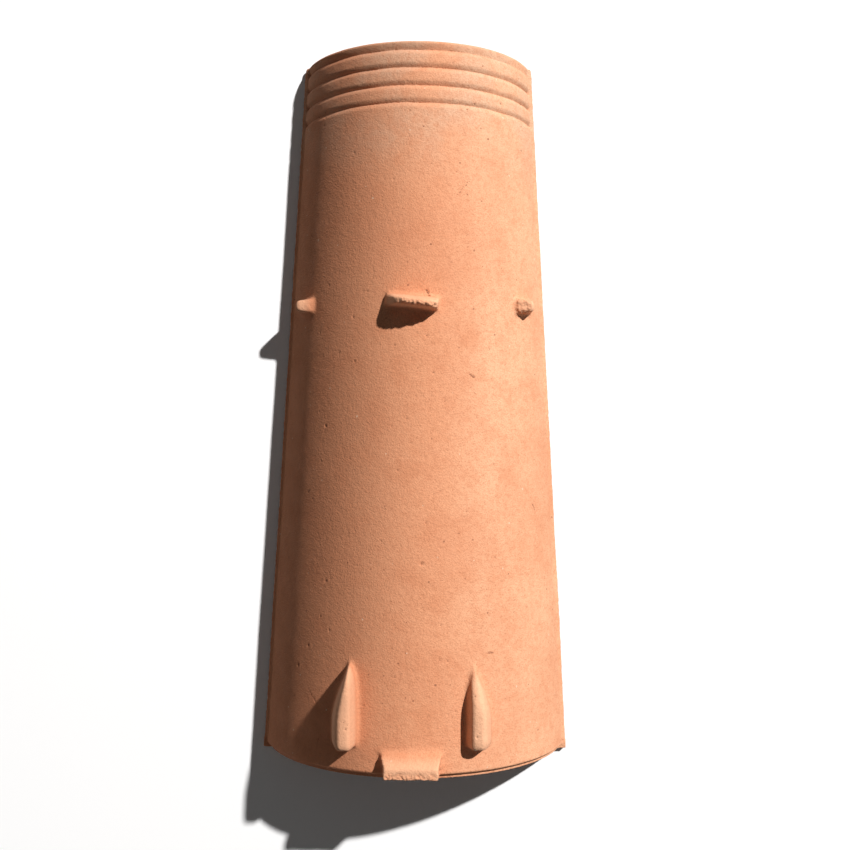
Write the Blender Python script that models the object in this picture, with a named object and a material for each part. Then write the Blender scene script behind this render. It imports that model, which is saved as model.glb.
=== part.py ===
# A clay canal tile: a tapered half-barrel, pressed in one piece and fired, lying on its two long edges.
# Units are metres. +Y runs towards the narrow end and +Z is up.
# The origin is under the middle of the tile, on the ground.

import math

import bmesh
import bpy
from mathutils import Matrix

# Driving dimensions of the barrel
LENGTH = 0.450
WIDE_END_WIDTH = 0.200
NARROW_END_WIDTH = 0.150
WIDE_END_RISE = 0.074
NARROW_END_RISE = 0.057
WALL = 0.012

# Rim: the lip left at the parting line of the press, and the rounding of the skin above it
LIP_WIDTH = 0.0022
LIP_DROP = 0.0030
EDGE_LIP_HEIGHT = 0.0045
RIM_ROUND = 0.0016
NARROW_RIM_ROUND = 0.0012
INNER_EDGE_ROUND = 0.0015

# The nibs, ribs and pad are pressed a little to the left of the tile's middle
FEATURE_OFFSET = -0.0013

# Grooves round the narrow end
GROOVE_COUNT = 4
GROOVE_FROM_END = 0.0055
GROOVE_PITCH = 0.01115
GROOVE_HALF_WIDTH = 0.0025
GROOVE_DEPTH = 0.0013

# Centre stop nib, on the crown: its front faces the wide end
NIB_FROM_NARROW_END = 0.1672
NIB_WIDTH = 0.0345
NIB_THICKNESS = 0.0115
NIB_HEIGHT = 0.0168
NIB_OFFSET = -0.0015
NIB_FRONT_LEAN = 0.0022
NIB_CREST_THICKNESS = 0.0026
NIB_ROUND = 0.0012
NIB_TURN = math.radians(-5.5)

# Side nibs, low on the flanks: wide on the side of the crown and narrower at the outer side
PEG_SPREAD = 0.0698
PEG_WIDTH = 0.0123
PEG_INNER_LENGTH = 0.0106
PEG_OUTER_LENGTH = 0.0070
PEG_HEIGHT = 0.0092
PEG_ROUND = 0.0024
PEG_FROM_NARROW_END = 0.1617

# Boat-shaped ribs, near the wide end. The spread is half the distance between their tips.
RIB_SPREAD = 0.0380
RIB_FROM_WIDE_END = 0.0180
RIB_LENGTH = 0.0517
RIB_WIDTH = 0.0188
RIB_HEIGHT = 0.0160

# Pad, at the crown of the wide end: a ramp up to a flat top that stops where the lip starts
PAD_WIDTH = 0.0390
PAD_TOP_WIDTH = 0.0325
PAD_TOP_LENGTH = 0.0062
PAD_RAMP_LENGTH = 0.0088
PAD_HEIGHT = 0.0080
PAD_DRAFT = 0.0012

# Depth to which a nib, rib or pad is rooted in the wall before it is joined
ROOT_SHARE = 0.5

# Facets
ARC_SEGMENTS = 48
ROUND_SEGMENTS = 3
PAD_ACROSS_SEGMENTS = 8
BODY_SECTIONS = 18
SMALLEST_STEP = 0.00008
GROOVE_STEP_SHARES = (-1.0, -0.55, -0.25, 0.0, 0.25, 0.55, 1.0)

# Rib, from its blunt end to its tip: place along its length, width of its inner side, width of its outer side,
# height of the left rib and height of the right rib. The left crest stays level almost to the tip. The right
# rib is lower and slopes down to its tip. The outer side closes in on the crest sooner than the inner side.
RIB_SHARES = (
    (0.0, 0.70, 0.76, 0.74, 0.54),
    (0.012, 0.86, 0.89, 0.90, 0.66),
    (0.045, 0.97, 0.97, 0.98, 0.73),
    (0.10, 1.0, 1.0, 1.0, 0.77),
    (0.35, 1.0, 1.0, 1.0, 0.78),
    (0.46, 0.99, 0.90, 1.0, 0.78),
    (0.56, 0.97, 0.76, 1.0, 0.74),
    (0.66, 0.93, 0.61, 1.0, 0.60),
    (0.77, 0.84, 0.37, 0.96, 0.37),
    (0.85, 0.72, 0.22, 0.80, 0.22),
    (0.90, 0.58, 0.14, 0.58, 0.13),
    (0.95, 0.38, 0.07, 0.28, 0.06),
    (1.0, 0.06, 0.02, -0.08, -0.04),
)
# Section of a rib between its feet, from the steep inner side over the flat top to the well rounded outer side:
# place across, measured outwards from the tip, and height
RIB_SECTION_SHARES = (
    (-0.101, 0.875),
    (-0.069, 0.935),
    (-0.032, 0.975),
    (0.005, 0.995),
    (0.053, 1.0),
    (0.207, 1.0),
    (0.261, 0.985),
    (0.314, 0.945),
    (0.356, 0.885),
    (0.394, 0.80),
    (0.426, 0.69),
    (0.452, 0.56),
    (0.489, 0.36),
    (0.537, 0.10),
)
RIB_INNER_FOOT_SHARE = -0.388
RIB_OUTER_FOOT_SHARE = 0.612

# Outline of the centre nib seen along the tile, from left foot to right: places across its width, and heights
NIB_ACROSS_SHARES = (0.0, 0.03, 0.10, 0.24, 0.42, 0.56, 0.72, 0.86, 0.95, 0.99, 1.0)
NIB_HEIGHT_SHARES = (0.0, 0.40, 0.70, 0.90, 0.98, 1.0, 0.97, 0.92, 0.84, 0.66, 0.0)


def remove_old_objects():
    for old in list(bpy.data.objects):
        bpy.data.objects.remove(old, do_unlink=True)


def clay_material():
    """Fired clay, salmon orange and matt."""
    material = bpy.data.materials.new("fired_clay")
    material.use_nodes = True
    shader = material.node_tree.nodes["Principled BSDF"]
    shader.inputs["Base Color"].default_value = (0.62, 0.27, 0.14, 1.0)
    shader.inputs["Roughness"].default_value = 0.9
    shader.inputs["Metallic"].default_value = 0.0
    return material


def mix(at_wide_end, at_narrow_end, y):
    """A size that changes evenly from the wide end to the narrow end, taken at y."""
    share = y / LENGTH + 1 / 2
    return at_wide_end * (1 - share) + at_narrow_end * share


def skin_arc(y):
    """Radius and centre height of the arch's outer skin at y. It springs from the lip along the long edge."""
    half_chord = mix(WIDE_END_WIDTH, NARROW_END_WIDTH, y) / 2 - LIP_WIDTH
    crown = mix(WIDE_END_RISE, NARROW_END_RISE, y)
    height = crown - EDGE_LIP_HEIGHT
    radius = (half_chord**2 + height**2) / (2 * height)
    return radius, crown - radius


def skin_height(x, y):
    radius, centre = skin_arc(y)
    return centre + math.sqrt(radius**2 - x**2)


def arc_points(radius, centre, foot):
    """Points over an arc from its left foot to its right foot, both at the height foot."""
    spread = math.acos((foot - centre) / radius)
    for step in range(ARC_SEGMENTS + 1):
        angle = spread * (2 * step / ARC_SEGMENTS - 1)
        yield radius * math.sin(angle), centre + radius * math.cos(angle)


def section(y, depth):
    """Closed outline of the tile across its length at y, its skin lowered by depth, as points (x, z)."""
    radius, centre = skin_arc(y)
    edge = mix(WIDE_END_WIDTH, NARROW_END_WIDTH, y) / 2
    inner = radius - WALL
    inner_foot = math.sqrt(inner**2 - centre**2)
    outline = [(-edge, 0.0), (-edge, EDGE_LIP_HEIGHT)]
    outline += list(arc_points(radius - depth, centre, EDGE_LIP_HEIGHT))
    outline += [(edge, EDGE_LIP_HEIGHT), (edge, 0.0)]
    outline += [(inner_foot + INNER_EDGE_ROUND, 0.0)]
    outline += reversed(list(arc_points(inner, centre, INNER_EDGE_ROUND)))
    outline += [(-inner_foot - INNER_EDGE_ROUND, 0.0)]
    return outline


def rim_depth(inset, flat, drop, rounding):
    """How far the skin is lowered at a distance in from an end: a flat lip, then a quarter round."""
    if inset <= flat:
        return drop
    if inset >= flat + rounding:
        return 0.0
    share = 1 - (inset - flat) / rounding
    return drop * (1 - math.sqrt(1 - share**2))


def groove_depth(inset):
    """Depth of the grooves at a distance in from the narrow end: sharp valleys with rounded shoulders."""
    deepest = 0.0
    for number in range(GROOVE_COUNT):
        share = abs(inset - GROOVE_FROM_END - number * GROOVE_PITCH) / GROOVE_HALF_WIDTH
        if share < 1:
            deepest = max(deepest, GROOVE_DEPTH * (1 - share) ** 2)
    return deepest


def skin_depth(y):
    from_wide = y + LENGTH / 2
    from_narrow = LENGTH / 2 - y
    wide_rim = rim_depth(from_wide, LIP_WIDTH, LIP_DROP, RIM_ROUND)
    narrow_rim = rim_depth(from_narrow, 0.0, NARROW_RIM_ROUND, NARROW_RIM_ROUND)
    return max(wide_rim, narrow_rim, groove_depth(from_narrow))


def round_insets(flat, rounding):
    """Distances in from an end at which its rim needs a section."""
    insets = [0.0]
    for step in range(ROUND_SEGMENTS + 1):
        angle = math.pi / 2 * step / ROUND_SEGMENTS
        insets.append(flat + rounding * (1 - math.cos(angle)))
    return insets


def stations():
    """Places along the tile where its section is drawn, from the wide end to the narrow end."""
    places = [inset - LENGTH / 2 for inset in round_insets(LIP_WIDTH, RIM_ROUND)]
    places += [LENGTH / 2 - inset for inset in round_insets(0.0, NARROW_RIM_ROUND)]
    for number in range(GROOVE_COUNT):
        middle = LENGTH / 2 - GROOVE_FROM_END - number * GROOVE_PITCH
        places += [middle + share * GROOVE_HALF_WIDTH for share in GROOVE_STEP_SHARES]
    places += [LENGTH * (step / BODY_SECTIONS - 1 / 2) for step in range(1, BODY_SECTIONS)]
    kept = []
    for place in sorted(places):
        if not kept or place - kept[-1] > SMALLEST_STEP:
            kept.append(place)
    return kept


def ring(mesh, points):
    """A closed loop of edges through the points. Returns its vertices and edges."""
    corners = [mesh.verts.new(point) for point in points]
    edges = [mesh.edges.new((corners[i - 1], corners[i])) for i in range(len(corners))]
    return corners, edges


def loft(mesh, outlines):
    """A closed solid through a row of outlines with the same number of points."""
    rings = [ring(mesh, outline) for outline in outlines]
    for (_, first), (_, second) in zip(rings, rings[1:]):
        bmesh.ops.bridge_loops(mesh, edges=first + second)
    mesh.faces.new(rings[0][0])
    mesh.faces.new(rings[-1][0])
    bmesh.ops.recalc_face_normals(mesh, faces=mesh.faces)


def solid(name, mesh, material):
    data = bpy.data.meshes.new(name)
    mesh.to_mesh(data)
    mesh.free()
    data.materials.append(material)
    made = bpy.data.objects.new(name, data)
    bpy.context.scene.collection.objects.link(made)
    return made


def barrel(material):
    mesh = bmesh.new()
    loft(mesh, [[(x, y, z) for x, z in section(y, skin_depth(y))] for y in stations()])
    return solid("roof_tile", mesh, material)


def soften(mesh, edges, width):
    bmesh.ops.bevel(
        mesh,
        geom=edges,
        offset=width,
        offset_type="OFFSET",
        segments=ROUND_SEGMENTS,
        profile=0.5,
        affect="EDGES",
        clamp_overlap=True,
        material=-1,
    )


def highest(edge):
    return max(corner.co.z for corner in edge.verts)


def lowest(edge):
    return min(corner.co.z for corner in edge.verts)


def rooted(x, y):
    """Height inside the wall, under the skin at x and y, where a feature starts."""
    return skin_height(x, y) - WALL * ROOT_SHARE


def nib(material):
    """The centre stop nib: a hump across the crown, steep on its front and sloping at its back."""
    mesh = bmesh.new()
    middle_x = FEATURE_OFFSET + NIB_OFFSET
    front_y = LENGTH / 2 - NIB_FROM_NARROW_END
    foot = rooted(NIB_WIDTH / 2, front_y)
    rise = skin_height(0.0, front_y) + NIB_HEIGHT - foot
    front = []
    back = []
    for across, up in zip(NIB_ACROSS_SHARES, NIB_HEIGHT_SHARES):
        x = middle_x + NIB_WIDTH * (across - 1 / 2)
        z = foot + rise * up
        lean = NIB_FRONT_LEAN * up
        crest = NIB_FRONT_LEAN + NIB_CREST_THICKNESS
        front.append((x, front_y + lean, z))
        back.append((x, front_y + NIB_THICKNESS + (crest - NIB_THICKNESS) * up, z))
    loft(mesh, [front, back])
    soften(mesh, [edge for edge in mesh.edges if lowest(edge) > foot + SMALLEST_STEP], NIB_ROUND)
    middle = (middle_x, front_y + NIB_THICKNESS / 2, 0.0)
    bmesh.ops.rotate(mesh, cent=middle, matrix=Matrix.Rotation(NIB_TURN, 3, "Z"), verts=mesh.verts)
    return solid("nib", mesh, material)


def peg(side, material):
    """A side nib: a small upright peg with a flat top, which stands out of the steep flank like a shelf."""
    mesh = bmesh.new()
    middle_x = FEATURE_OFFSET + side * PEG_SPREAD
    middle_y = LENGTH / 2 - PEG_FROM_NARROW_END
    top = skin_height(middle_x, middle_y) + PEG_HEIGHT
    low = rooted(middle_x, middle_y)
    outlines = []
    for reach, length in ((-1, PEG_INNER_LENGTH), (1, PEG_OUTER_LENGTH)):
        x = middle_x + side * reach * PEG_WIDTH / 2
        near = middle_y - length / 2
        far = middle_y + length / 2
        outlines.append([(x, near, low), (x, near, top), (x, far, top), (x, far, low)])
    loft(mesh, outlines)
    soften(mesh, [edge for edge in mesh.edges if highest(edge) > low + SMALLEST_STEP], PEG_ROUND)
    return solid("peg", mesh, material)


def rib_section(side, y, inner_width, outer_width, height):
    """Outline of a rib across its length, from its inner foot over its flat top to its outer foot."""
    tip_x = FEATURE_OFFSET + side * RIB_SPREAD
    skin = skin_height(tip_x, y)
    inner_x = tip_x + side * inner_width * RIB_INNER_FOOT_SHARE
    outer_x = tip_x + side * outer_width * RIB_OUTER_FOOT_SHARE
    outline = [(inner_x, y, rooted(inner_x, y))]
    for across, up in RIB_SECTION_SHARES:
        width = inner_width if across < 0 else outer_width
        outline.append((tip_x + side * width * across, y, skin + height * up))
    outline.append((outer_x, y, rooted(outer_x, y)))
    return outline


def rib(side, material):
    """A boat-shaped rib on the left or right side: pointed towards the narrow end, blunt towards the wide end."""
    mesh = bmesh.new()
    end_y = RIB_FROM_WIDE_END - LENGTH / 2
    outlines = []
    for along, inner, outer, left_high, right_high in RIB_SHARES:
        y = end_y + RIB_LENGTH * along
        high = left_high if side < 0 else right_high
        outlines.append(rib_section(side, y, RIB_WIDTH * inner, RIB_WIDTH * outer, RIB_HEIGHT * high))
    loft(mesh, outlines)
    return solid("rib", mesh, material)


def pad_section(y, width, top):
    """Outline of the pad across the crown at y. The height of its top is given by a function of x."""
    low = rooted(width / 2, y)
    left = FEATURE_OFFSET - width / 2
    right = FEATURE_OFFSET + width / 2
    outline = [(left - PAD_DRAFT, y, low)]
    for step in range(PAD_ACROSS_SEGMENTS + 1):
        x = left + width * step / PAD_ACROSS_SEGMENTS
        outline.append((x, y, top(x)))
    outline.append((right + PAD_DRAFT, y, low))
    return outline


def pad(material):
    """The pad at the crown of the wide end: a short ramp up to a flat top."""
    mesh = bmesh.new()
    end_y = LIP_WIDTH - LENGTH / 2
    top_y = end_y + PAD_TOP_LENGTH
    ramp_y = top_y + PAD_RAMP_LENGTH
    high = skin_height(0.0, end_y) + PAD_HEIGHT
    outlines = [
        pad_section(end_y, PAD_TOP_WIDTH, lambda x: high),
        pad_section(top_y, PAD_TOP_WIDTH, lambda x: high),
        pad_section(ramp_y, PAD_WIDTH, lambda x: skin_height(x, ramp_y) - SMALLEST_STEP),
    ]
    loft(mesh, outlines)
    return solid("pad", mesh, material)


def join(body, piece):
    """Joins a rooted feature to the tile, so that the two are one solid."""
    union = body.modifiers.new("join_" + piece.name, "BOOLEAN")
    union.operation = "UNION"
    union.solver = "EXACT"
    union.object = piece
    piece.hide_render = True
    piece.display_type = "WIRE"


def build():
    remove_old_objects()
    clay = clay_material()
    tile = barrel(clay)
    features = [nib(clay), pad(clay)]
    for side in (-1, 1):
        features += [peg(side, clay), rib(side, clay)]
    for feature in features:
        join(tile, feature)
    tile.data.shade_smooth()
    tile.data.set_sharp_from_angle(angle=math.radians(35))


build()
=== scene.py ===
# %% [markdown]
# A clay canal tile.
# The real object is one piece of fired clay: a slab is pressed over a mould, dried, and baked. So there is
# one piece to make here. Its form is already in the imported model, at its real size. What the lesson adds is
# what the press and the kiln leave behind: soft edges, a skin that is never quite even, crumbly broken
# places, pits, and a matt salmon surface with a dusty, paler end. The order is: load the frame, refine a
# copy of its solid, sculpt it in code, colour it, then set up the studio.

import math
import random

import bmesh
import bpy
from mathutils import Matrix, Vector, bvhtree, kdtree, noise


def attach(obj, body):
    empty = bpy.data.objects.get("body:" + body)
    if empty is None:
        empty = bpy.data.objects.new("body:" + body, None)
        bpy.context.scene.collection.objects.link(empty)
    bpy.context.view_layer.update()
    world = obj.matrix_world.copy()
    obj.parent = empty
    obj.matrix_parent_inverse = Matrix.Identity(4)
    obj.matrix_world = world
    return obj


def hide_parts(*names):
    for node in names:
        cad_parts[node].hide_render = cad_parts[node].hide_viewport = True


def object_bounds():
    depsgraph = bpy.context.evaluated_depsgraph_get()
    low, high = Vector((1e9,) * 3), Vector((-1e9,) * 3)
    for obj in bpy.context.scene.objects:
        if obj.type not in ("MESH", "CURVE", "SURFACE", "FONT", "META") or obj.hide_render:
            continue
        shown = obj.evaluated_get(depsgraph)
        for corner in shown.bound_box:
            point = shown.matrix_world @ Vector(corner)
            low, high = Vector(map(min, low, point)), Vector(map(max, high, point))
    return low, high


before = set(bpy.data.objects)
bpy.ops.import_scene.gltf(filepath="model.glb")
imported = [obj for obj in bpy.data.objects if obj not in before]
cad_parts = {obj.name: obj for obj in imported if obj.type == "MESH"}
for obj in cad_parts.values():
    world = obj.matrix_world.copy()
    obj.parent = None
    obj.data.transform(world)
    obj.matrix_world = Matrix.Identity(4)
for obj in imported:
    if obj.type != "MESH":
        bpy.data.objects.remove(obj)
frame_low, frame_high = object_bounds()
print("frame:", [round(side * 1000, 1) for side in frame_high - frame_low], "mm")

# %% [markdown]
# Numbers come first.
# All of them are real lengths in metres, so one millimetre gets a name, and every size is written with it.
# The arch of the tile is part of a circle at each end. Half its width and its rise give the radius of that
# circle, and in between the ends the two change evenly. Later steps ask how far a point lies above this
# arch, because that tells the plain skin from the nibs, the ribs and the pad. A point less than half a wall
# below it still belongs to the outer side.

# %% Sizes of the arch
MM = 0.001
LENGTH = frame_high.y - frame_low.y
WIDE_WIDTH = frame_high.x - frame_low.x
NARROW_WIDTH = 150 * MM
WIDE_RISE = 74 * MM
NARROW_RISE = 57 * MM
WALL = 12 * MM
LIP_WIDTH = 2.2 * MM
LIP_HEIGHT = 4.5 * MM
LIP_TOP = LIP_HEIGHT + MM
INNER_ROUND = 1.5 * MM
ARCH_STRIPS = 48


def mix(at_wide_end, at_narrow_end, y):
    """A length that changes evenly from one end of the tile to the other, at y."""
    share = y / LENGTH + 0.5
    return at_wide_end * (1 - share) + at_narrow_end * share


def arch(y):
    """Radius of the outer skin and the height of its centre, at y."""
    half = mix(WIDE_WIDTH, NARROW_WIDTH, y) / 2 - LIP_WIDTH
    crown = mix(WIDE_RISE, NARROW_RISE, y)
    height = crown - LIP_HEIGHT
    radius = (half**2 + height**2) / (2 * height)
    return radius, crown - radius


def above_skin(point):
    """How far a point lies outside the arch. It is below zero inside the wall."""
    radius, centre = arch(point.y)
    return math.hypot(point.x, point.z - centre) - radius


def is_outer(point):
    return above_skin(point) > -WALL / 2


def on_skin(x, y):
    """The point of the outer skin above a place on the ground."""
    radius, centre = arch(y)
    return Vector((x, y, centre + math.sqrt(radius**2 - x**2)))


def smooth_step(low, high, value):
    """Rises softly from 0 at low to 1 at high."""
    share = min(max((value - low) / (high - low), 0.0), 1.0)
    return share * share * (3 - 2 * share)


print("radius at the ends:", [round(arch(y)[0] / MM, 1) for y in (frame_low.y, frame_high.y)], "mm")

# %% [markdown]
# The raw clay.
# The frame's solid has long flat triangles, which can't hold fine relief. A subdivision surface would need
# tidy four-sided faces, and a solid made by joining parts has none. Voxel remeshing suits it better: it
# fills the solid with a fine grid and wraps it in small, even faces. The frame itself is never changed, so
# the work is done on a merged copy of it.

# %% Copy the solid and remesh it
GRID = 0.8 * MM
MERGE_DISTANCE = 0.001 * MM


def settle(piece):
    """Turns a piece's modifiers into plain mesh."""
    view = bpy.context.evaluated_depsgraph_get()
    shown = piece.evaluated_get(view)
    made = bpy.data.meshes.new_from_object(shown, preserve_all_data_layers=True, depsgraph=view)
    piece.modifiers.clear()
    piece.data = made


solid = bmesh.new()
solid.from_mesh(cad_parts["roof_tile"].data)
bmesh.ops.remove_doubles(solid, verts=solid.verts, dist=MERGE_DISTANCE)
tile_mesh = bpy.data.meshes.new("clay_tile")
solid.to_mesh(tile_mesh)
tile = bpy.data.objects.new("clay_tile", tile_mesh)
bpy.context.scene.collection.objects.link(tile)

remesh = tile.modifiers.new("grid", "REMESH")
remesh.mode = "VOXEL"
remesh.voxel_size = GRID
settle(tile)
clay = bmesh.new()
clay.from_mesh(tile.data)
print("remeshed:", len(clay.verts), "vertices")

# %% [markdown]
# Soft roots and edges.
# Wet clay doesn't take a knife-sharp corner. Where a rib or a nib stands on the skin, the clay leaves a
# small hollow fillet, and its own edges come out round. A bevel would need clean edges to follow. Smoothing
# the vertices of just those places does the same on a remeshed surface: two rounds everywhere take off the
# grid's steps, two more round the features' edges, and nine more near the foot of each feature melt it into
# the skin. The wide end is left out, because its step is a crisp one.

# %% Smooth the feet and edges
FEATURE_START = 0.12 * MM
FOOT_HEIGHT = 1.8 * MM
WIDE_END_ZONE = 6 * MM
GRID_ROUNDS = 2
EDGE_ROUNDS = 2
FOOT_SPREAD = 2
FOOT_ROUNDS = 9


def soften(vertices, rounds):
    """Moves each vertex half way to the middle of its neighbours, a few times over."""
    for _ in range(rounds):
        bmesh.ops.smooth_vert(
            clay, verts=vertices, factor=0.5, use_axis_x=True, use_axis_y=True, use_axis_z=True
        )


def at_wide_end(point):
    return point.y < frame_low.y + WIDE_END_ZONE


inland = [v for v in clay.verts if not at_wide_end(v.co)]
soften(inland, GRID_ROUNDS)
features = [v for v in inland if above_skin(v.co) > FEATURE_START]
feet = {v for v in features if above_skin(v.co) < FOOT_HEIGHT}
for _ in range(FOOT_SPREAD):
    feet |= {edge.other_vert(v) for v in feet for edge in v.link_edges}
soften(features, EDGE_ROUNDS)
soften(list(feet), FOOT_ROUNDS)
print("softened", len(features), "feature vertices and", len(feet), "at their feet")

# %% [markdown]
# A finer grid in three places.
# The step at the wide end, the grooves at the narrow end and the broken nibs are too fine for the grid.
# Only their faces are divided once more. The new vertices of the wide end are then laid back on the frame's
# solid, to bring out its step again: a tree of the solid's faces finds the nearest place for each of them.

# %% Refine the wide end, the grooves and the nibs
GROOVED_ZONE = 44 * MM
GROOVED_DEPTH = WALL / 3
NIB_LINE = 63.5 * MM
NIB_ZONE = 11 * MM
NIB_REACH = 26 * MM
NIB_LEAST_HEIGHT = 0.6 * MM


def is_fine(point):
    grooved = point.y > frame_high.y - GROOVED_ZONE and above_skin(point) > -GROOVED_DEPTH
    nib = abs(point.y - NIB_LINE) < NIB_ZONE and above_skin(point) > NIB_LEAST_HEIGHT
    return at_wide_end(point) or grooved or nib


fine_edges = {edge for face in clay.faces if is_fine(face.calc_center_median()) for edge in face.edges}
bmesh.ops.subdivide_edges(clay, edges=list(fine_edges), cuts=1, use_grid_fill=True)
solid_tree = bvhtree.BVHTree.FromBMesh(solid)
for vertex in clay.verts:
    if at_wide_end(vertex.co):
        vertex.co = solid_tree.find_nearest(vertex.co)[0]
solid.free()
print("refined to", len(clay.verts), "vertices")

# %% [markdown]
# From strips to a true arch.
# The solid's arch is made of flat strips, and light that grazes it would show each of them. A point in the
# middle of a strip lies a little nearer to the centre than the true circle. The two differ by a ratio of
# cosines, so one line of arithmetic moves every point out to where the circle runs. It moves nothing by
# more than 0.05 mm.

# %% Ease the strips
def strip_ratio(point):
    """How much farther out the true arch runs, where its flat strips were drawn."""
    radius, centre = arch(point.y)
    outer = is_outer(point)
    reach = radius if outer else radius - WALL
    foot = LIP_HEIGHT if outer else INNER_ROUND
    spread = math.acos((foot - centre) / reach)
    angle = math.atan2(point.x, point.z - centre)
    if abs(angle) > spread:
        return 1.0
    half_strip = spread / ARCH_STRIPS
    from_middle = (angle + spread) % (2 * half_strip) - half_strip
    return math.cos(from_middle) / math.cos(half_strip)


for vertex in clay.verts:
    if vertex.co.z > INNER_ROUND:
        centre = arch(vertex.co.y)[1]
        ratio = strip_ratio(vertex.co)
        vertex.co.x *= ratio
        vertex.co.z = centre + (vertex.co.z - centre) * ratio
print("eased", ARCH_STRIPS, "strips")

# %% [markdown]
# The worn nib.
# The centre nib was pushed askew when the slab left the mould: its left end slopes away and its middle
# stands proud. A short table says how much of its height is left at places across the tile, which it gives
# in millimetres, and the vertices above the skin are lowered to that share.

# %% Wear the nib down
NIB_WEAR = [(-21, 0.25), (-16.6, 0.48), (-13.0, 0.78), (-8.0, 0.97), (1.4, 1.0), (9, 0.93), (14, 0.82)]


def share_left(x):
    """Share of the nib's height that is left at a place across the tile."""
    for (start, before), (end, after) in zip(NIB_WEAR, NIB_WEAR[1:]):
        if x <= end * MM:
            part = min(max((x / MM - start) / (end - start), 0.0), 1.0)
            return before + (after - before) * part
    return NIB_WEAR[-1][1]


worn = 0
for vertex in clay.verts:
    if abs(vertex.co.y - NIB_LINE) < NIB_ZONE and abs(vertex.co.x) < NIB_REACH and above_skin(vertex.co) > 0:
        skin = on_skin(vertex.co.x, vertex.co.y).z
        vertex.co.z = skin + (vertex.co.z - skin) * share_left(vertex.co.x)
        worn += 1
print("wore down", worn, "vertices of the nib")

# %% [markdown]
# The grooves.
# A wire comb leaves them in the wet clay: steep, narrow valleys between bands that bulge a little. They are
# the finest regular form of the tile, and smoothing has half closed them, so they are cut again. Each
# vertex of the skin gets its distance from the centre anew, as a function of its distance from the end. The
# comb was held by hand, so a little noise makes the lines wander, deepen and fade. The first valley is
# deeper, slopes down from the very rim, and is worn away towards the right. Each row gives a groove's place,
# its reach towards the end and away from it, and its depth.

# %% Cut the grooves
GROOVES = [
    (5.4 * MM, 4.6 * MM, 3.2 * MM, 1.85 * MM),
    (16.6 * MM, 3.3 * MM, 3.0 * MM, 1.65 * MM),
    (27.8 * MM, 3.3 * MM, 3.0 * MM, 1.65 * MM),
    (38.8 * MM, 3.3 * MM, 3.2 * MM, 1.50 * MM),
]
VALLEY_SHARPNESS = 1.7
BAND_BULGE = 0.30 * MM
WANDER = (26 * MM, 0.55 * MM)
FADE = (14 * MM, 0.22)
RIM_WIDTH = 1.4 * MM
CUT_DEPTH = WALL / 4
FIRST_GROOVE_END = 10 * MM
WORN_FROM = (12 * MM, 42 * MM)
WORN_SHARE = 0.55


def groove_cut(inset):
    """How deep the skin is cut, at a distance from the narrow end."""
    cut = 0.0
    for place, outer_reach, inner_reach, depth in GROOVES:
        reach = outer_reach if inset < place else inner_reach
        share = abs(inset - place) / reach
        if share < 1:
            cut = max(cut, depth * (1 - share) ** VALLEY_SHARPNESS)
    for (place, *_), (next_place, *_) in zip(GROOVES, GROOVES[1:]):
        if place < inset < next_place:
            across = 2 * (inset - place) / (next_place - place) - 1
            cut += BAND_BULGE * across**2
    return cut


cut_vertices = 0
for vertex in clay.verts:
    point = vertex.co
    inset = frame_high.y - point.y
    if not RIM_WIDTH < inset < GROOVED_ZONE or point.z < LIP_TOP or above_skin(point) < -CUT_DEPTH:
        continue
    wander = WANDER[1] * noise.noise(Vector((point.x, 0.0, point.z)) / WANDER[0])
    fade = 1 + FADE[1] * noise.noise(point / FADE[0])
    if inset < FIRST_GROOVE_END:
        fade *= 1 - WORN_SHARE * smooth_step(*WORN_FROM, point.x)
    radius, centre = arch(point.y)
    ratio = (radius - groove_cut(inset + wander) * fade) / math.hypot(point.x, point.z - centre)
    vertex.co = Vector((point.x * ratio, point.y, centre + (point.z - centre) * ratio))
    cut_vertices += 1
print("cut", len(GROOVES), "grooves through", cut_vertices, "vertices")

# %% [markdown]
# Relief of the skin.
# A pressed slab is slightly wavy, and its skin has soft dimples from the mould and a fine grain of sand.
# Displace modifiers could do this with one texture for each size of bump. Moving the vertices in one loop
# is as quick, and it lets each place have its own roughness. The front of the centre nib's crest, the top
# of the right side nib, the edge of the pad and the thin lips along the ground are torn, where the clay
# stuck to the mould: a row of their table gives a place, a radius in millimetres and a strength. Noise is
# read at the point itself, so it is the same each run. Two attributes keep what the material needs to know
# later: how torn a vertex is, and how far it is raised above the skin.

# %% Move the skin
RELIEF = [(90 * MM, 0.30 * MM), (34 * MM, 0.10 * MM), (9 * MM, 0.050 * MM), (2.6 * MM, 0.030 * MM)]
TEARS = [(3.0 * MM, 0.65 * MM), (1.3 * MM, 0.60 * MM)]
TEAR_LOSS = 0.20 * MM
TEAR_CORE = 0.45
RAISED_HIGHLIGHT_RANGE = (1.5 * MM, 7.0 * MM)
NOISE_START = Vector((0.0, 0.0, 3.0))
NOISE_SHIFT = Vector((5.0, 0.0, 0.0))
CHIPPED_LIP = (2.4 * MM, 0.24 * MM)
TORN_PLACES = [
    (-12, 60.6, 78, 4.5, 0.8), (-7, 60.0, 79, 5.0, 1.0), (-2, 59.6, 79, 5.0, 1.0),
    (3, 59.2, 79, 5.5, 1.0), (8, 58.8, 78, 5.0, 1.0), (12, 59, 77, 4.5, 0.8),
    (68, 63, 37, 8.0, 0.8), (-70, 63, 37, 7.0, 0.2),
    (-14, -222, 80, 5.0, 1.0), (-8, -222, 80, 5.5, 1.0), (-2, -222, 80, 5.0, 0.9),
    (4, -222, 80, 5.0, 1.0), (11, -222, 80, 5.0, 0.8),
]


def bumps(point, layers):
    """Sum of noises, each with its own size and height, each shifted so that no two look alike."""
    total = 0.0
    for number, (size, height) in enumerate(layers):
        total += height * noise.noise(point / size + NOISE_START + NOISE_SHIFT * number)
    return total


# The torn share later paints the torn clay darker: partly its redder inside, partly painted shade in the
# tears.
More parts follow.
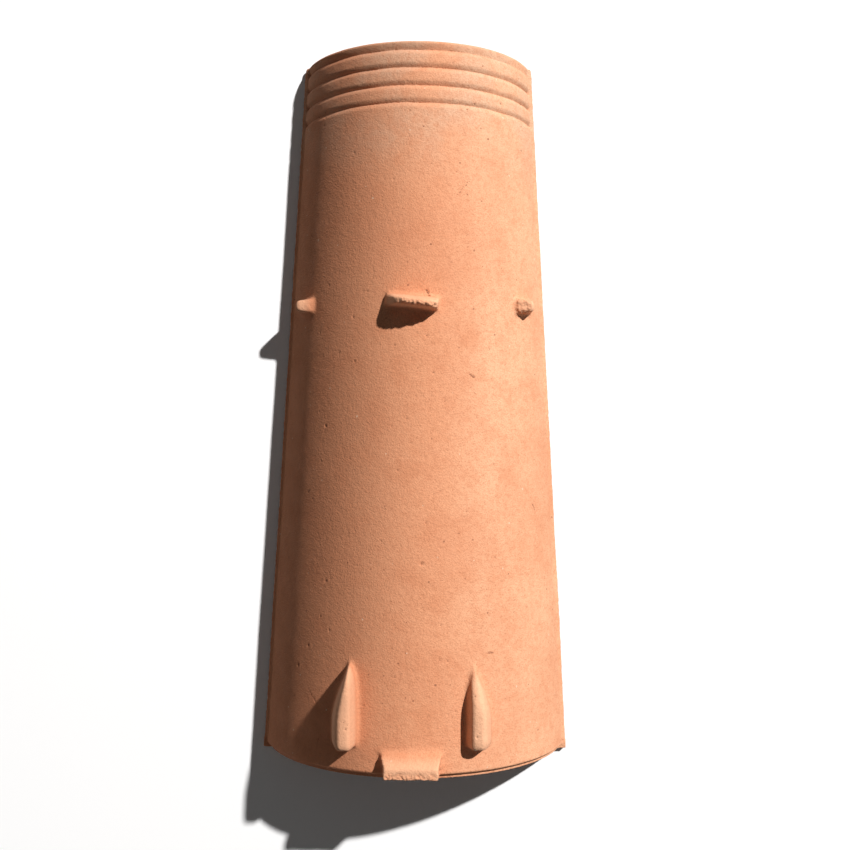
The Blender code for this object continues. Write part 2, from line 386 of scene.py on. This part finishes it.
torn_and_shade = clay.verts.layers.float.new("torn_and_shade")
# The raised share later paints the raised parts pale: a painted highlight.
raised_highlight = clay.verts.layers.float.new("raised_highlight")
clay.normal_update()
for vertex in clay.verts:
    point = vertex.co.copy()
    tear = 0.0
    if above_skin(point) > MM:
        for x, y, z, radius, strength in TORN_PLACES:
            distance = (point - Vector((x, y, z)) * MM).length / (radius * MM)
            tear = max(tear, strength * (1 - smooth_step(TEAR_CORE, 1.0, distance)))
    vertex[torn_and_shade] = tear
    vertex[raised_highlight] = smooth_step(*RAISED_HIGHLIGHT_RANGE, above_skin(point))
    move = bumps(point, RELIEF)
    if tear > 0:
        move += tear * (bumps(point, TEARS) - TEAR_LOSS)
    if point.z < LIP_TOP and is_outer(point):
        move += bumps(point, [CHIPPED_LIP])
    vertex.co += vertex.normal * move
print("moved the skin of", len(clay.verts), "vertices")

# %% [markdown]
# Pits, nicks and scratches.
# Here and there a grain of sand has dropped out of the skin, or something has scratched the tile before it
# was fired. Each is a small hollow with a raised rim. The ones that stand out are listed one by one: a pit by
# its place on the ground plan, its radius and its depth, and a scratch by its two ends, all in millimetres.

# %% List the marks
PITS = [
    (5, -96, 1.5, 0.7), (-39.6, 54.2, 1.2, 0.5), (-11.4, -39.9, 1.0, 0.35), (-57, -13, 1.3, 0.6),
    (36.2, 17.3, 1.3, 0.5), (7.8, 42.1, 1.2, 0.6), (7.4, -70.9, 1.0, 0.4), (18.2, 1.7, 1.0, 0.4),
    (65.1, 159.8, 1.2, 0.5), (53.2, 191.5, 1.2, 0.5), (17.2, -132.8, 1.1, 0.5),
    (15.9, -153.8, 1.0, 0.5), (20.7, -155, 1.1, 0.5), (79, -204.7, 1.3, 0.35),
    (85.3, -162.8, 1.2, 0.35), (-74.1, -163.3, 1.4, 0.6), (-67.4, -150.3, 1.2, 0.5),
    (-55.5, -109.4, 1.6, 0.4), (38.4, -198.1, 1.3, 0.7), (39.6, -195.4, 0.9, 0.4),
    (36.4, -173.9, 1.0, 0.4), (-39.6, -192.8, 1.2, 0.5), (-38.6, -190.6, 0.9, 0.4),
    (-40.8, -189.4, 0.9, 0.4), (7.7, 67.1, 1.5, 2.2), (12.5, 58.9, 1.6, 1.0), (7.4, 68.6, 1.1, 1.2),
    (6.9, 70.4, 0.9, 0.7), (-0.6, 31.9, 0.9, 0.3), (46.3, 34.7, 0.9, 0.3), (0.4, 5.7, 0.9, 0.3),
    (39.7, 21.1, 0.8, 0.3),
]
SCRATCHES = [
    (33.3, 138.8, 26.2, 130.1), (-66.5, -177.5, -61.3, -184.1), (75.0, -61.6, 76.8, -65.6),
    (46.0, -151.3, 48.8, -151.9), (6.6, 70.6, 7.5, 68.2), (33.8, 19.0, 36.6, 17.2),
]
print("listed", len(PITS), "pits and", len(SCRATCHES), "scratches")

# %% [markdown]
# Each mark is pressed in by one function.
# A k-d tree finds the few vertices around a place without looking at all of them. A bell curve gives the
# hollow its soft sides, and a second, narrow one lifts its rim. How deep a vertex lies in a pit is written
# to an attribute, which the material reads later.

# %% Press in the marks
PRESS_REACH = 1.7
HOLLOW_STEEPNESS = 2.2
RIM_SHARE = 0.16
RIM_PLACE = 1.15
RIM_STEEPNESS = 9.0
SCRATCH_WIDTH = 0.75 * MM
SCRATCH_DEPTH = 0.20 * MM
SCRATCH_STEPS = 10
TALLEST_FEATURE = 18

clay.verts.ensure_lookup_table()
vertex_tree = kdtree.KDTree(len(clay.verts))
for number, vertex in enumerate(clay.verts):
    vertex_tree.insert(vertex.co, number)
vertex_tree.balance()
# The depth in a pit later paints it dark: painted shade in the hollow.
pit_shade = clay.verts.layers.float.new("pit_shade")


def press(place, radius, depth):
    """Presses a round hollow, with a faint rim, into the surface around a place."""
    for _, number, distance in vertex_tree.find_range(place, radius * PRESS_REACH):
        vertex = clay.verts[number]
        share = distance / radius
        hollow = math.exp(-HOLLOW_STEEPNESS * share**2)
        rim = math.exp(-RIM_STEEPNESS * (share - RIM_PLACE) ** 2)
        vertex.co -= vertex.normal * depth * (hollow - RIM_SHARE * rim)
        vertex[pit_shade] = max(vertex[pit_shade], hollow)


def top_of(x, y):
    """The highest surface at a place: the skin, or the top of the rib or nib that stands there."""
    found = vertex_tree.find(on_skin(x, y))[0]
    for lift in range(1, TALLEST_FEATURE):
        higher = vertex_tree.find(on_skin(x, y) + Vector((0, 0, lift * MM)))[0]
        if higher.z > found.z and math.hypot(higher.x - x, higher.y - y) < MM:
            found = higher
    return found


for x, y, radius, depth in PITS:
    press(top_of(x * MM, y * MM), radius * MM, depth * MM)
for start_x, start_y, end_x, end_y in SCRATCHES:
    for step in range(SCRATCH_STEPS):
        share = step / (SCRATCH_STEPS - 1)
        x = start_x + (end_x - start_x) * share
        y = start_y + (end_y - start_y) * share
        press(top_of(x * MM, y * MM), SCRATCH_WIDTH, SCRATCH_DEPTH)
print("pressed the listed marks into", len(clay.verts), "vertices")

# %% [markdown]
# The rest are scattered.
# Small pits lie anywhere on the skin. A seeded random generator gives the same places each run.

# %% Scatter small pits
SCATTERED_PITS = 260
SCATTER_SEED = 11
SCATTER_SIZE = (0.5 * MM, 1.0 * MM)
SCATTER_DEPTH_SHARE = (0.2, 0.6)
SCATTER_LENGTH_SHARE = 0.49
SCATTER_WIDTH_SHARE = 0.93

chance = random.Random(SCATTER_SEED)
for _ in range(SCATTERED_PITS):
    y = chance.uniform(-SCATTER_LENGTH_SHARE, SCATTER_LENGTH_SHARE) * LENGTH
    x = chance.uniform(-SCATTER_WIDTH_SHARE, SCATTER_WIDTH_SHARE) * mix(WIDE_WIDTH, NARROW_WIDTH, y) / 2
    size = chance.uniform(*SCATTER_SIZE)
    press(on_skin(x, y), size, size * chance.uniform(*SCATTER_DEPTH_SHARE))
print("scattered", SCATTERED_PITS, "small pits")

# %% [markdown]
# Back to a mesh of sensible size.
# The underside has to rest flat, so whatever the noise pushed below the ground comes back to it. The grid
# has far more faces than the plain skin needs. Decimate merges the ones that lie nearly flat first, and
# keeps them where the surface bends, such as on the nibs and in the grooves. It can push a foot a hair
# below the ground again, so that step comes after it too.

# %% Flatten the feet and decimate
MOST_TRIANGLES = 196000


def lift_to_ground(vertices):
    """Brings whatever lies below the ground back to it."""
    for vertex in vertices:
        vertex.co.z = max(vertex.co.z, 0.0)


lift_to_ground(clay.verts)
clay.to_mesh(tile.data)
clay.free()
triangles = sum(len(face.vertices) - 2 for face in tile.data.polygons)
decimate = tile.modifiers.new("thin_out", "DECIMATE")
decimate.ratio = MOST_TRIANGLES / triangles
settle(tile)
lift_to_ground(tile.data.vertices)
tile.data.shade_smooth()
print("kept", len(tile.data.polygons), "of", triangles, "triangles")

# %% [markdown]
# Fired clay.
# Colours are written as they look, in sRGB hex, and one function turns them to the linear values that
# Blender reckons with. A second small function adds a node, sets it and links it, so that a material reads
# as a list of steps.

# %% Helpers for materials
def linear(colour):
    """A hex colour as linear red, green, blue and alpha."""
    channels = [int(colour[i : i + 2], 16) / 255 for i in (1, 3, 5)]
    return [c / 12.92 if c <= 0.04045 else ((c + 0.055) / 1.055) ** 2.4 for c in channels] + [1.0]


terracotta = bpy.data.materials.new("pressed_terracotta")
terracotta.use_nodes = True
steps = terracotta.node_tree
shader = steps.nodes["Principled BSDF"]


def add(kind, inputs=None, **settings):
    """Adds a node. An input is given by name or number, as a value or as the output that feeds it."""
    node = steps.nodes.new(kind)
    for name, value in settings.items():
        setattr(node, name, value)
    for socket, value in (inputs or {}).items():
        if isinstance(value, bpy.types.NodeSocket):
            steps.links.new(value, node.inputs[socket])
        else:
            node.inputs[socket].default_value = value
    return node


print("a mid grey of #808080 is", round(linear("#808080")[0], 3), "in linear light")

# %% [markdown]
# Terracotta.
# Iron in the clay fires to a salmon orange. It is porous and quite matt, so it hardly mirrors anything: an
# index of refraction of 1.5 with a roughness near 0.9. Its colour comes in layers, each a noise of its own
# size that is cut to soft patches: a drift over a few centimetres from the kiln's heat, small clouds where
# the clay was mixed, fine sand. The left side is painted browner and the right side paler: painted shade and
# painted light, as the lamp at the upper right falls on the tile. The narrow end, where the next tile
# overlaps, has a thin bloom of dust and lime. Every pattern reads the object's own coordinates in metres, so
# its scale is a real size. A row gives that size, the detail, the range of the noise that fades in, and the
# least and most that it yields.

# %% Patterns in the clay
PATTERNS = {
    "drift": (70 * MM, 4.0, 0.42, 0.72, 0.0, 0.40),
    "clouds": (16 * MM, 4.0, 0.45, 0.75, 0.0, 0.30),
    "mottle": (3.6 * MM, 4.0, 0.40, 0.70, 0.0, 0.36),
    "sand": (0.9 * MM, 2.0, 0.42, 0.72, 0.0, 0.36),
    "bloom patches": (30 * MM, 5.0, 0.36, 0.64, 0.16, 0.66),
    "speck size": (9 * MM, 3.0, 0.35, 0.70, 0.02, 0.17),
    "roughness": (12 * MM, 3.0, 0.30, 0.70, 0.84, 0.95),
}
BLOOM_EDGE = (130 * MM, 188 * MM)
# Painted shade and painted light: the left side is painted browner and the right side paler, by where the
# lamp falls. A row gives where the mask starts and ends across the tile, in metres, and its least and most.
PAINTED_SHADE_LEFT = (10 * MM, -58 * MM, 0.0, 0.50)
PAINTED_LIGHT_RIGHT = (5 * MM, 55 * MM, 0.0, 0.33)

where = add("ShaderNodeTexCoord").outputs["Object"]
masks = {}
for name, (size, detail, low, high, least, most) in PATTERNS.items():
    pattern = add("ShaderNodeTexNoise", {"Vector": where, "Scale": 1 / size, "Detail": detail})
    reach = {"Value": pattern.outputs[0], "From Min": low, "From Max": high, "To Min": least, "To Max": most}
    masks[name] = add("ShaderNodeMapRange", reach, interpolation_type="SMOOTHSTEP").outputs[0]

place = add("ShaderNodeSeparateXYZ", {0: where}).outputs
for name, (start, end, least, most) in {"painted shade left": PAINTED_SHADE_LEFT, "painted light right": PAINTED_LIGHT_RIGHT}.items():
    reach = {"Value": place["X"], "From Min": start, "From Max": end, "To Min": least, "To Max": most}
    masks[name] = add("ShaderNodeMapRange", reach, interpolation_type="SMOOTHSTEP").outputs[0]
at_end = {"Value": place["Y"], "From Min": BLOOM_EDGE[0], "From Max": BLOOM_EDGE[1]}
narrow_end = add("ShaderNodeMapRange", at_end, interpolation_type="SMOOTHSTEP").outputs[0]
both = {0: narrow_end, 1: masks["bloom patches"]}
masks["bloom"] = add("ShaderNodeMath", both, operation="MULTIPLY").outputs[0]
print("patterns:", ", ".join(masks))

# %% [markdown]
# Specks.
# A few grains of iron burn dark, and a few of lime stay pale. Voronoi cells give points at even but
# irregular distances. A cell becomes a dot where the distance to its point is small, and the cell's random
# colour chooses whether the dot is dark, pale or none.

# %% Dark and pale specks
SPECK_SPACING = 4.5 * MM
DARK_CHOICE = (0.80, 0.86, 0.0, 0.60)
PALE_CHOICE = (0.10, 0.14, 0.50, 0.0)

cells = add("ShaderNodeTexVoronoi", {"Vector": where, "Scale": 1 / SPECK_SPACING})
near = {0: cells.outputs["Distance"], 1: masks["speck size"]}
dot = add("ShaderNodeMath", near, operation="LESS_THAN").outputs[0]
draw = add("ShaderNodeSeparateXYZ", {0: cells.outputs["Color"]}).outputs["X"]
for name, (low, high, least, most) in {"dark specks": DARK_CHOICE, "pale specks": PALE_CHOICE}.items():
    reach = {"Value": draw, "From Min": low, "From Max": high, "To Min": least, "To Max": most}
    chosen = add("ShaderNodeMapRange", reach).outputs[0]
    masks[name] = add("ShaderNodeMath", {0: dot, 1: chosen}, operation="MULTIPLY").outputs[0]

# %% [markdown]
# Raised, torn and pitted places.
# The three attributes that were written while the mesh was sculpted say where the clay stands above the
# skin, where it is torn and where it is pitted. The raised parts are painted pale: a painted highlight on the
# tops of the ribs, nibs and pad. Torn clay is painted darker red: partly its redder inside, partly painted
# shade in the tears. The pits are painted dark: painted shade in the hollows.

# %% Masks from the sculpting
# The raised mask paints a highlight, the torn mask partly paints shade, and the pitted mask paints shade.
SCULPTED = {"raised_highlight": (0.0, 1.0, 0.36), "torn_and_shade": (0.2, 0.9, 0.42), "pit_shade": (0.35, 0.95, 0.75)}

for name, (low, high, most) in SCULPTED.items():
    written = add("ShaderNodeAttribute", attribute_name=name).outputs["Fac"]
    reach = {"Value": written, "From Min": low, "From Max": high, "To Min": 0.0, "To Max": most}
    masks[name] = add("ShaderNodeMapRange", reach).outputs[0]
print("read back:", ", ".join(SCULPTED))

# %% [markdown]
# Washes of colour.
# The layers are laid over each other like washes of paint, from the base clay to the painted shade in the
# pits. A Mix node has sockets for several kinds of data under the same names, so the ones for colour are
# given by number.

# %% Colour in layers
MIX_FIRST, MIX_SECOND, MIX_RESULT = 6, 7, 2
CLAY_IOR = 1.5
CLAY_SPECULAR = 0.35
BASE_CLAY = "#E09B73"
LAYERS = [
    # Painted light: the right side is painted paler.
    ("painted light right", "#F9D0AA"),
    ("drift", "#D28862"),
    ("clouds", "#C97A52"),
    ("bloom", "#D6AF91"),
    # Painted shade: the left side is painted browner.
    ("painted shade left", "#96583A"),
    ("mottle", "#CE8660"),
    ("sand", "#AE6B48"),
    ("dark specks", "#7A4630"),
    ("pale specks", "#EBCBAE"),
    # Painted highlight on the raised parts.
    ("raised_highlight", "#F3C5A0"),
    # Torn clay: partly its redder inside, partly painted shade.
    ("torn_and_shade", "#C4805C"),
    # Painted shade in the pits.
    ("pit_shade", "#6E3D28"),
]

colour = linear(BASE_CLAY)
for name, over in LAYERS:
    washes = {0: masks[name], MIX_FIRST: colour, MIX_SECOND: linear(over)}
    colour = add("ShaderNodeMix", washes, data_type="RGBA").outputs[MIX_RESULT]
steps.links.new(colour, shader.inputs["Base Color"])
steps.links.new(masks["roughness"], shader.inputs["Roughness"])
shader.inputs["IOR"].default_value = CLAY_IOR
shader.inputs["Specular IOR Level"].default_value = CLAY_SPECULAR
print("laid", len(LAYERS), "colours over", BASE_CLAY)

# %% [markdown]
# Grain.
# Sand, and the faint drag lines along the tile, are too small for the mesh, so they are bump. Real sand is
# finer than the picture can show, so its coarser grain is drawn at about three millimetres. The drag lines
# come from the same noise, stretched along the tile by a Mapping node. A row gives the size, the stretch, the
# strength and the height.

# %% Bump
GRAIN_DETAIL = 3.0
GRAIN_ROUGHNESS = 0.62
GRAINS = [
    (3.2 * MM, 1.0, 0.60, 0.52 * MM),
    (1.0 * MM, 1.0, 0.90, 0.38 * MM),
    (1.6 * MM, 0.12, 0.30, 0.15 * MM),
]

surface = None
for size, stretch, strength, height in GRAINS:
    drawn = add("ShaderNodeMapping", {"Vector": where, "Scale": (1.0, stretch, 1.0)}).outputs[0]
    look = {"Vector": drawn, "Scale": 1 / size, "Detail": GRAIN_DETAIL, "Roughness": GRAIN_ROUGHNESS}
    grain = add("ShaderNodeTexNoise", look)
    bump = add("ShaderNodeBump", {"Strength": strength, "Distance": height, "Height": grain.outputs[0]})
    if surface:
        steps.links.new(surface, bump.inputs["Normal"])
    surface = bump.outputs[0]
steps.links.new(surface, shader.inputs["Normal"])
tile.data.materials.clear()
tile.data.materials.append(terracotta)
print("terracotta has", len(steps.nodes), "nodes")

# %% [markdown]
# Into the frame.
# The tile rides on the frame's only body, and stands for the solid that it was made from.

# %% Place the tile
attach(tile, "root")
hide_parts("roof_tile")
print("placed", tile.name)

# %% [markdown]
# The floor.
# The tile lies on a wide, pale floor. A white floor would throw so much light under the flanks that their
# form would be lost. So the floor is pale only where the camera or a reflection sees it, and bounces light
# like plain grey ground. The Light Path node tells the two apart.

# %% Floor
FLOOR_SIZE = 12.0
FLOOR_SEEN = "#FCFBFA"
FLOOR_BOUNCE = "#8C8782"
FLOOR_ROUGHNESS = 0.9


def where_seen():
    """1 where the camera or a reflection looks at a surface, and 0 for the light that it bounces on."""
    ray = add("ShaderNodeLightPath").outputs
    seen = ray["Is Camera Ray"]
    for kind in ("Is Glossy Ray", "Is Transmission Ray"):
        seen = add("ShaderNodeMath", {0: seen, 1: ray[kind]}, operation="MAXIMUM").outputs[0]
    return seen


floor_mesh = bpy.data.meshes.new("studio_floor")
ground = bmesh.new()
bmesh.ops.create_grid(ground, x_segments=1, y_segments=1, size=FLOOR_SIZE / 2)
ground.to_mesh(floor_mesh)
ground.free()
floor = bpy.data.objects.new("studio_floor", floor_mesh)
bpy.context.scene.collection.objects.link(floor)
paint = bpy.data.materials.new("pale_floor")
paint.use_nodes = True
steps = paint.node_tree
floor_shader = steps.nodes["Principled BSDF"]
tones = {0: where_seen(), MIX_FIRST: linear(FLOOR_BOUNCE), MIX_SECOND: linear(FLOOR_SEEN)}
floor_tone = add("ShaderNodeMix", tones, data_type="RGBA").outputs[MIX_RESULT]
steps.links.new(floor_tone, floor_shader.inputs["Base Color"])
floor_shader.inputs["Roughness"].default_value = FLOOR_ROUGHNESS
floor_mesh.materials.append(paint)
print("floor:", FLOOR_SIZE, "m wide")

# %% [markdown]
# The lamps.
# One strong lamp stands far off at the upper right, so that it lights both ends alike, and throws the
# shadows of the ribs and nibs to the lower left. A weak one lifts the left side. Together with the glow of
# the next step they light the crown about as brightly as its colour is written. A row gives the direction of
# the lamp from the tile, its distance and size in metres, and its power in watts.

# %% Lamps
LAMPS = {
    "key_lamp": (Vector((0.84, 0.85, 1.0)), 8.0, 0.26, 1030.0),
    "fill_lamp": (Vector((-0.9, -0.5, 1.1)), 2.4, 1.8, 0.5),
}

aim = (frame_low + frame_high) / 2
for name, (direction, distance, size, power) in LAMPS.items():
    lamp = bpy.data.lights.new(name, "AREA")
    lamp.shape = "DISK"
    lamp.size = size
    lamp.energy = power
    holder = bpy.data.objects.new(name, lamp)
    holder.location = aim + direction.normalized() * distance
    holder.rotation_euler = direction.to_track_quat("Z", "Y").to_euler()
    holder.visible_camera = False
    bpy.context.scene.collection.objects.link(holder)
print("lamps:", ", ".join(LAMPS))

# %% [markdown]
# The backdrop.
# The world gives an even glow from all round. Like the floor, it is pale where it is seen, and its light is
# much weaker than that.

# %% Backdrop
GLOW = 0.06
BACKDROP = 0.93

world = bpy.data.worlds.new("studio")
world.use_nodes = True
steps = world.node_tree
background = steps.nodes["Background"].inputs
strength = add("ShaderNodeMapRange", {"Value": where_seen(), "To Min": GLOW, "To Max": BACKDROP}).outputs[0]
background["Color"].default_value = linear("#FFFFFF")
steps.links.new(strength, background["Strength"])
bpy.context.scene.world = world
bpy.context.scene.view_settings.view_transform = "Standard"
print("backdrop:", BACKDROP, "seen and", GLOW, "as light")

# %% [markdown]
# The camera.
# It looks straight down from about 73 cm, two centimetres off the middle of the tile, with a tilt of half a
# degree. The wide end is higher, so it is nearer and looks a little larger than it is. The focal length is
# given as a share of the picture's width.

# %% Camera
CAMERA_PLACE = (10.0 * MM, -18.5 * MM, 733.4 * MM)
CAMERA_TURN = [math.radians(angle) for angle in (0.517, 0.341, 0.290)]
SENSOR = 36.0
FOCAL_SHARE = 1100 / 850

camera = bpy.data.objects.new("camera", bpy.data.cameras.new("camera"))
camera.data.sensor_width = SENSOR
camera.data.lens = SENSOR * FOCAL_SHARE
camera.location = CAMERA_PLACE
camera.rotation_euler = CAMERA_TURN
bpy.context.scene.collection.objects.link(camera)
bpy.context.scene.camera = camera
print("lens:", round(camera.data.lens, 1), "mm")
